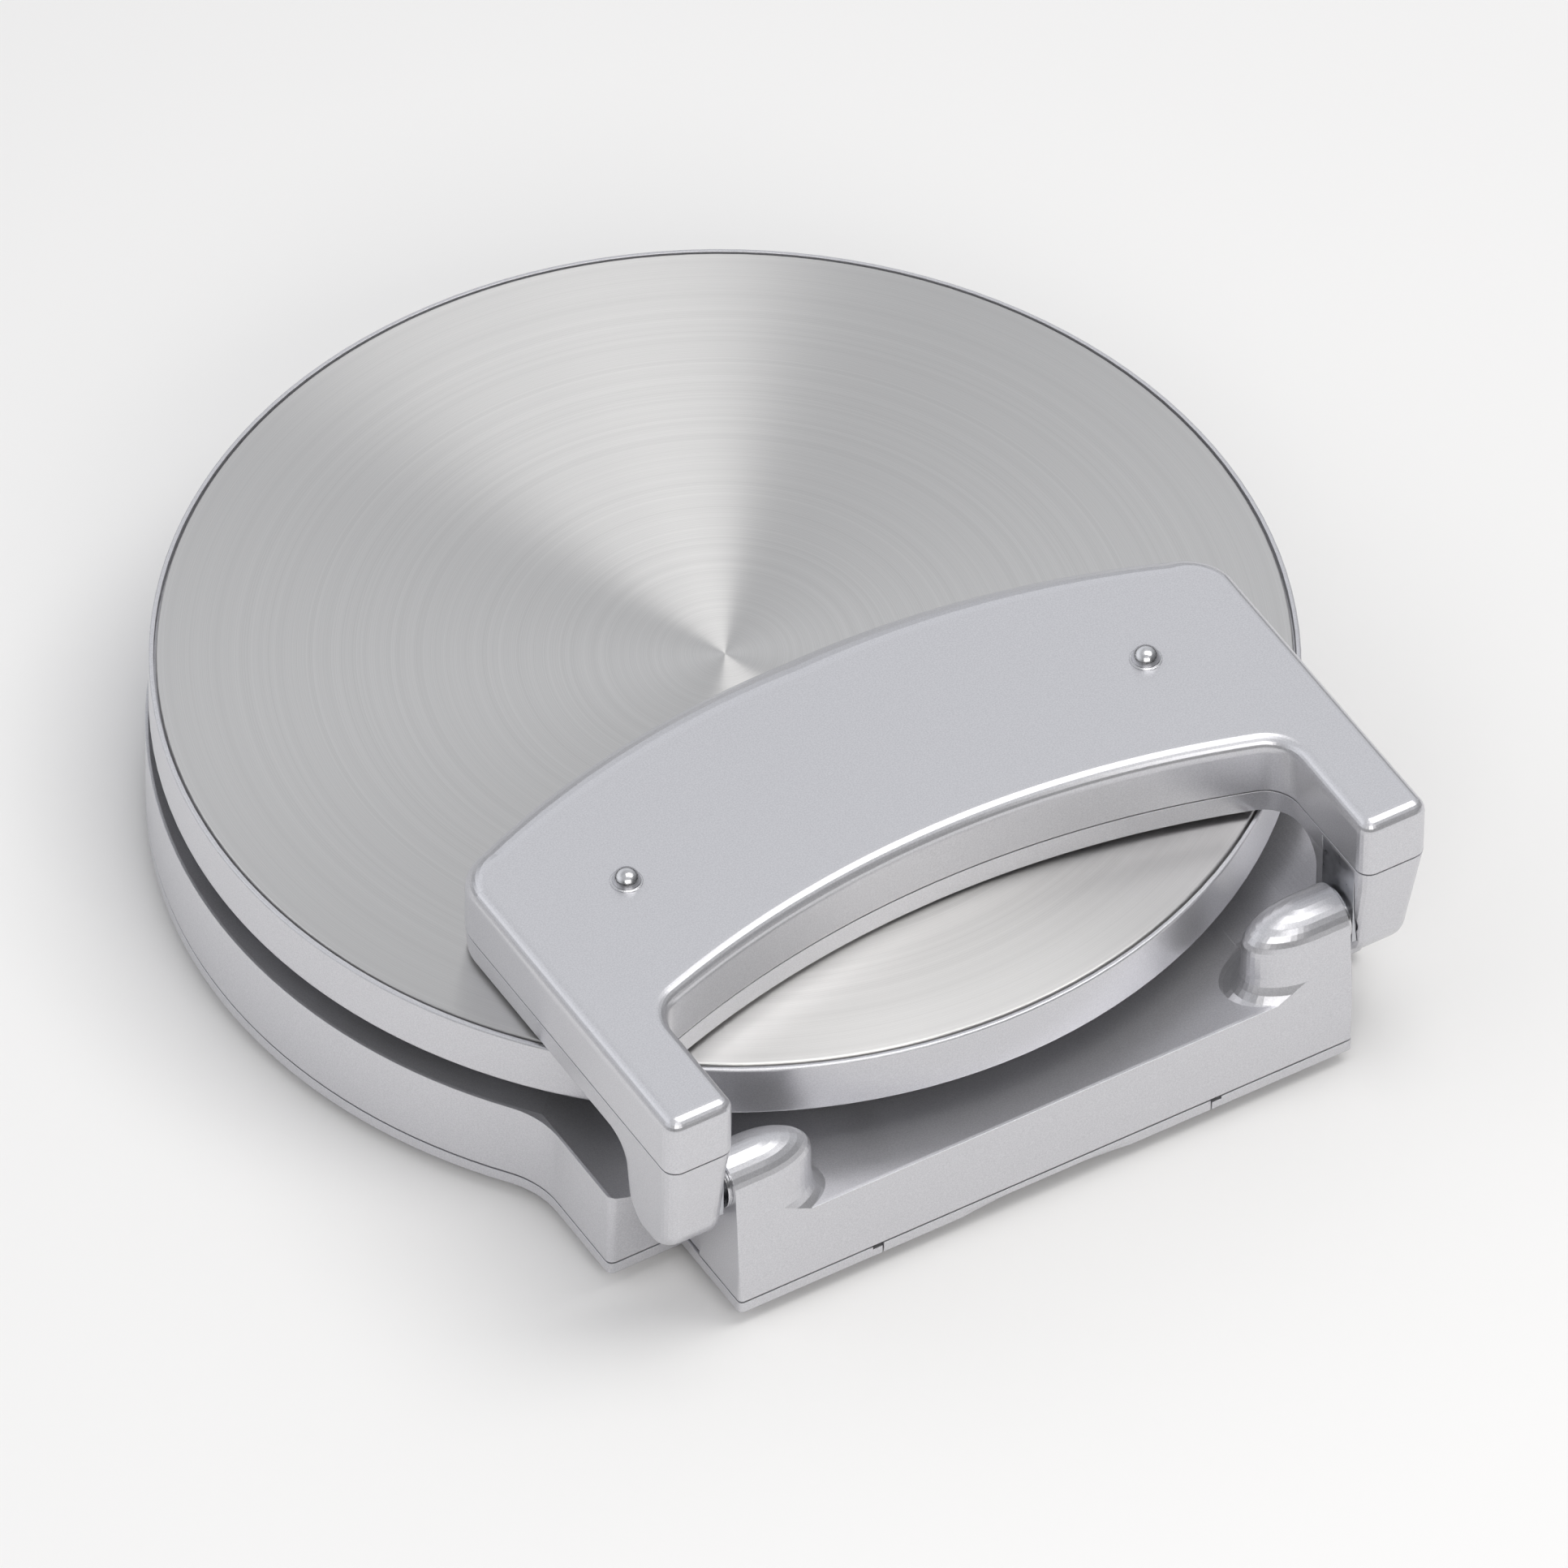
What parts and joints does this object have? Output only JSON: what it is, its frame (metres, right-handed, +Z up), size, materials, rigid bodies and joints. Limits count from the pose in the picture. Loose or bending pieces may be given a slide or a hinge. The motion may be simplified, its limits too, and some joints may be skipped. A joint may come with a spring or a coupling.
{
  "type": "bathroom scale",
  "caption": "Round digital bathroom scale: spun steel platform on a silver base, with a display unit that folds over it on a hinge.",
  "frame": {"origin": "on the floor under the centre of the whole object's footprint", "axes": "+Z up; +X to the right along the fold hinge; -Y towards the hinge side, +Y towards the far side of the platform"},
  "size_m": [0.3012, 0.312, 0.0878],
  "materials": {
    "spun_steel": "spun, fine concentric brushing",
    "silver_paint": "satin silver paint on moulded plastic",
    "zinc_plate": "zinc plated",
    "cell_alloy": "machined",
    "bright_steel": "polished",
    "foot_rubber": "moulded",
    "black_plastic": "fine texture",
    "circuit_board": "solder resist",
    "battery_sleeve": "printed sleeve, plain",
    "lead_sheath": "soft cable sheath",
    "clear_window": "clear acrylic",
    "lcd_glass": "grey-green display",
    "key_plastic": "satin"
  },
  "bodies": {
    "base": {"base_upper": "silver_paint", "base_lower": "silver_paint", "chassis": "zinc_plate", "load_cell_fl": "cell_alloy", "load_cell_fr": "cell_alloy", "load_cell_bl": "cell_alloy", "load_cell_br": "cell_alloy", "cell_bolts": "zinc_plate", "cell_cushions": "foot_rubber", "foot_fl": "foot_rubber", "foot_fr": "foot_rubber", "foot_bl": "foot_rubber", "foot_br": "foot_rubber", "main_board": "circuit_board", "board_parts": "black_plastic", "board_screws": "zinc_plate", "battery_tray": "black_plastic", "battery_1": "battery_sleeve", "battery_2": "battery_sleeve", "battery_3": "battery_sleeve", "battery_4": "battery_sleeve", "battery_5": "battery_sleeve", "battery_6": "battery_sleeve", "contact_springs": "zinc_plate", "contact_plates": "zinc_plate", "cover_screws": "zinc_plate", "hinge_shaft_l": "bright_steel", "hinge_shaft_r": "bright_steel", "hinge_washer_l": "bright_steel", "hinge_washer_r": "bright_steel", "shaft_clips": "zinc_plate", "hinge_spring": "bright_steel", "display_lead": "lead_sheath"},
    "platform": {"steel_disc": "spun_steel", "platform_tray": "silver_paint", "platform_plate": "zinc_plate", "platform_studs": "zinc_plate", "plate_screws": "zinc_plate"},
    "battery_door": {"battery_door": "silver_paint"},
    "display_unit": {"handle_upper": "silver_paint", "handle_lower": "silver_paint", "bearing_plate_l": "zinc_plate", "bearing_plate_r": "zinc_plate", "rest_stud_l": "bright_steel", "rest_stud_r": "bright_steel", "display_window": "clear_window", "lcd_panel": "lcd_glass", "lcd_frame": "black_plastic", "display_board": "circuit_board", "key_switches": "black_plastic", "handle_screws": "zinc_plate", "unit_lead": "lead_sheath"},
    "key_power": {"key_power": "key_plastic"},
    "key_unit": {"key_unit": "key_plastic"},
    "key_memory": {"key_memory": "key_plastic"}
  },
  "joints": [
    {"name": "display_fold", "type": "hinge", "parent": "base", "child": "display_unit", "pos_m": [0, -0.14455, 0.0439], "axis": [1, 0, 0], "range_deg": [0, 180]},
    {"name": "platform_travel", "type": "slide", "parent": "base", "child": "platform", "axis": [0, 0, -1], "range_m": [0, 0.0008], "stiffness_N_per_m": 1200000, "deforming": ["cell_cushions"]},
    {"name": "door_slide", "type": "slide", "parent": "base", "child": "battery_door", "axis": [0, -1, 0], "range_m": [0, 0.012]},
    {"name": "power_key_press", "type": "slide", "parent": "display_unit", "child": "key_power", "axis": [0, 0, 1], "range_m": [0, 0.001], "stiffness_N_per_m": 300},
    {"name": "unit_key_press", "type": "slide", "parent": "display_unit", "child": "key_unit", "axis": [0, 0, 1], "range_m": [0, 0.001], "stiffness_N_per_m": 300},
    {"name": "memory_key_press", "type": "slide", "parent": "display_unit", "child": "key_memory", "axis": [0, 0, 1], "range_m": [0, 0.001], "stiffness_N_per_m": 300}
  ]
}
